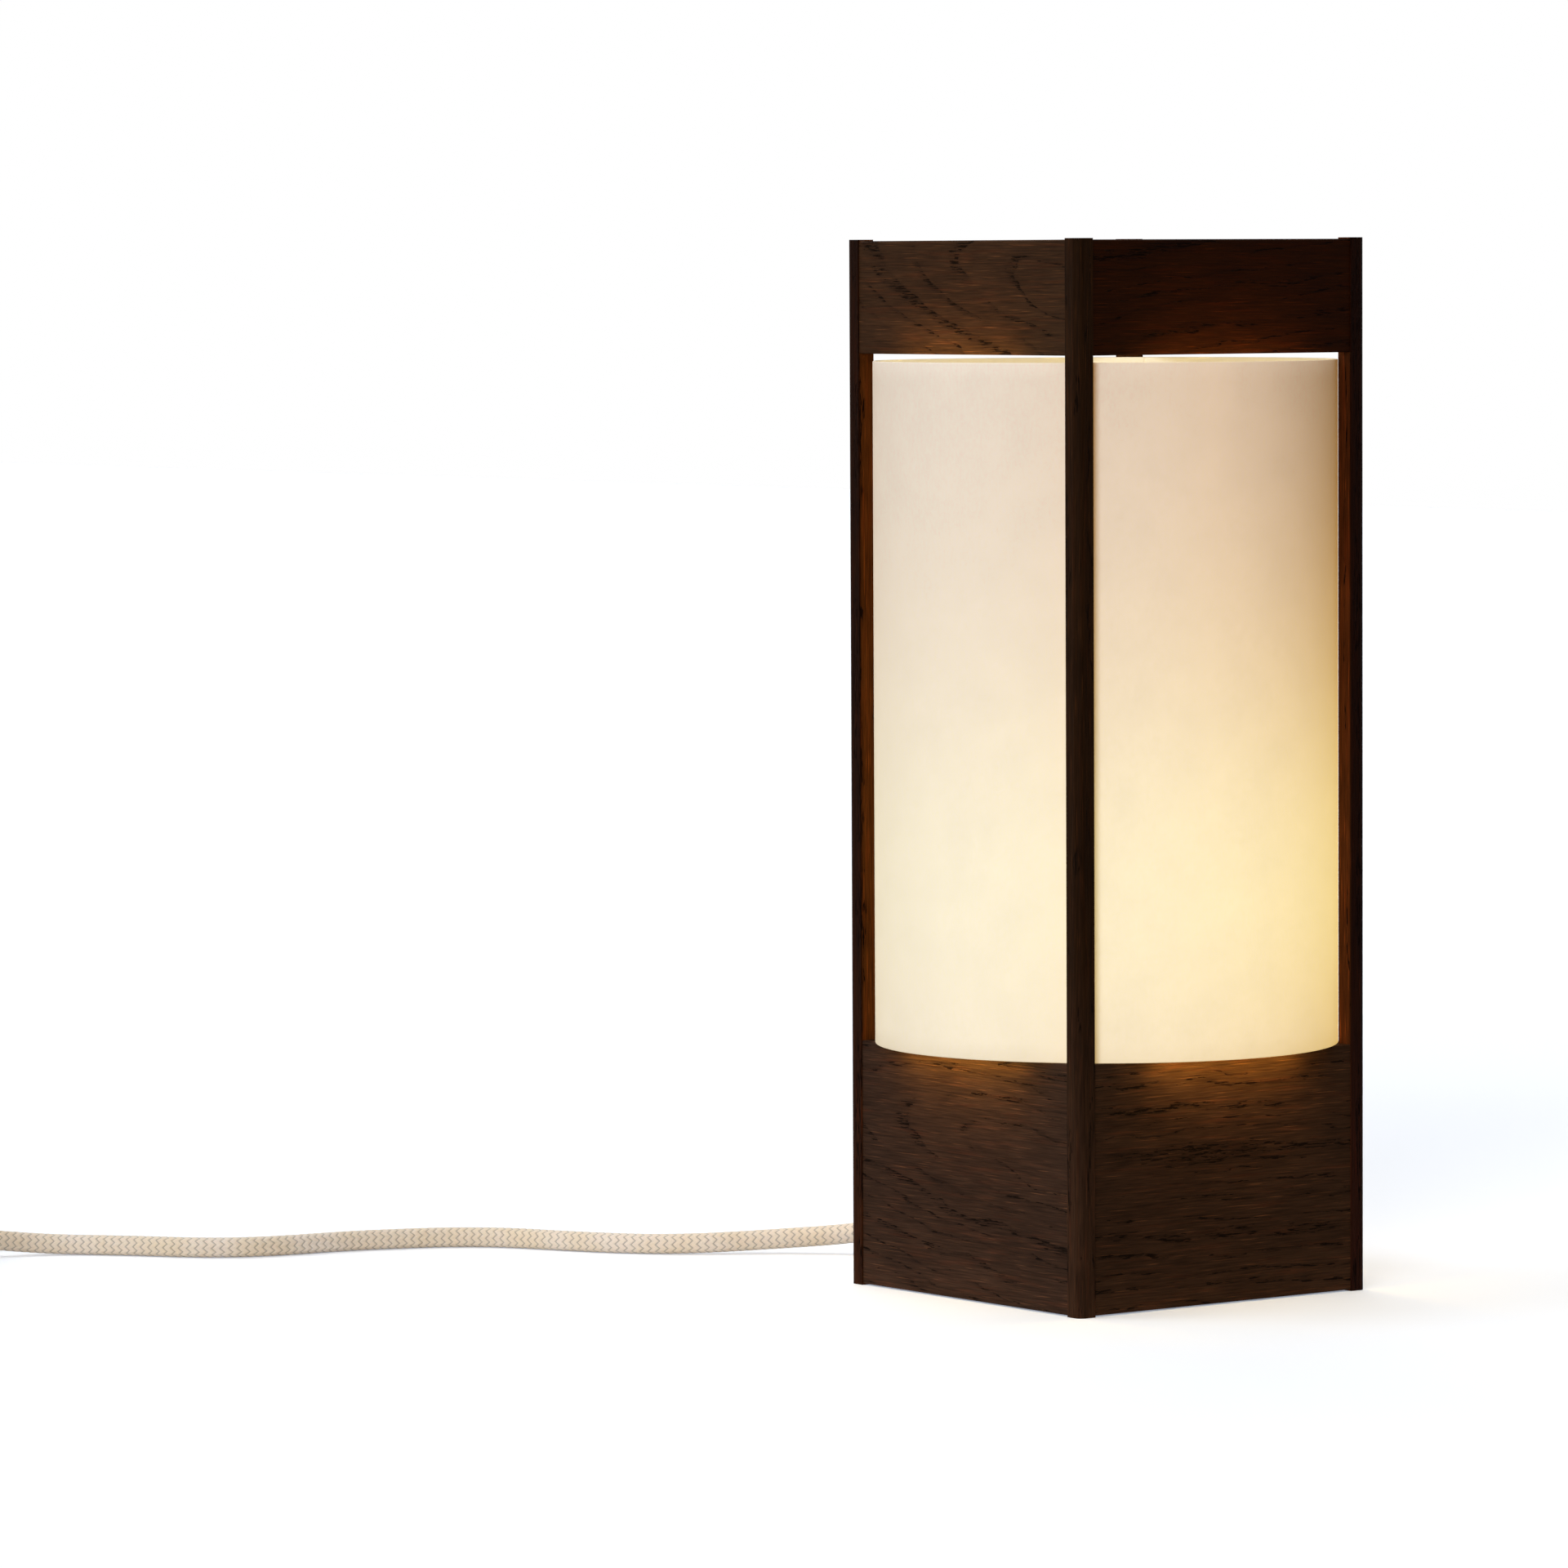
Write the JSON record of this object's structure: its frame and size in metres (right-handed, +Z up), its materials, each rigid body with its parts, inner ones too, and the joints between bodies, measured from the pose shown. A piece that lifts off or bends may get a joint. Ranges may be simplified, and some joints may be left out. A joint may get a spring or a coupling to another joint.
{
  "type": "andon table lamp",
  "caption": "Square wooden andon lamp: slim posts and flat panels hold a wider open-topped paper cylinder round a screw-in bulb, on a braided cord with a rocker switch and plug.",
  "frame": {"origin": "on the table, under the lamp's vertical axis", "axes": "+Z up; the square frame's faces are normal to X and Y; the cord leaves through the +Y face and its plug lies towards -X"},
  "size_m": [0.5084, 0.4131, 0.361],
  "materials": {
    "stained_ash": "open-pored oil stain",
    "plywood": "sanded birch plywood",
    "dark_board": "stained hardboard",
    "washi_laminate": "fibrous paper on film, translucent",
    "braided_cotton": "herringbone braid",
    "black_phenolic": "moulded, satin gloss",
    "brass": "turned, bare",
    "zinc_steel": "zinc plated",
    "porcelain": "glazed white porcelain",
    "opal_glass": "opal, frosted inside",
    "nickel": "nickel plated",
    "black_glass": "fused insulator",
    "black_rubber": "moulded",
    "cream_plastic": "moulded urea",
    "nylon": "moulded",
    "wire_brown": "extruded PVC",
    "wire_blue": "extruded PVC",
    "strap": "hook and loop tape"
  },
  "bodies": {
    "lamp": {"post_front_left": "stained_ash", "corner_block_front_left": "plywood", "post_front_right": "stained_ash", "corner_block_front_right": "plywood", "post_back_left": "stained_ash", "corner_block_back_left": "plywood", "post_back_right": "stained_ash", "corner_block_back_right": "plywood", "lower_panel_front": "stained_ash", "upper_panel_front": "stained_ash", "lower_panel_right": "stained_ash", "upper_panel_right": "stained_ash", "lower_panel_back": "stained_ash", "upper_panel_back": "stained_ash", "lower_panel_left": "stained_ash", "upper_panel_left": "stained_ash", "shade": "washi_laminate", "base_board": "plywood", "bottom_cover": "dark_board", "board_screws": "zinc_steel", "cover_screws": "zinc_steel", "nipple": "brass", "nipple_washer": "zinc_steel", "nipple_nut": "brass", "holder_cup": "black_phenolic", "holder_insert": "porcelain", "holder_terminals": "brass", "holder_shell": "brass", "holder_contact": "brass", "holder_skirt": "black_phenolic", "strain_relief": "black_rubber", "cord_inner": "braided_cotton", "cord_stop": "nylon", "cord_stop_screw": "zinc_steel", "wire_live": "wire_brown", "wire_neutral": "wire_blue", "lead_cord": "braided_cotton", "switch_base": "cream_plastic", "switch_cover": "cream_plastic", "switch_screws": "zinc_steel", "cord_coil": "braided_cotton", "coil_tie": "strap", "plug_body": "cream_plastic", "plug_boot": "cream_plastic", "plug_pins": "nickel"},
    "bulb": {"bulb_glass": "opal_glass", "bulb_cap": "nickel", "bulb_insulator": "black_glass", "bulb_tip": "nickel"},
    "rocker": {"switch_rocker": "cream_plastic"}
  },
  "joints": [
    {"name": "bulb_lift", "type": "slide", "parent": "lamp", "child": "bulb", "axis": [0, 0, 1], "range_m": [0, 0.3]},
    {"name": "rocker_tilt", "type": "hinge", "parent": "lamp", "child": "rocker", "pos_m": [-0.3, 0.32, 0.0138], "axis": [0, 1, 0], "range_deg": [0, 14]}
  ]
}
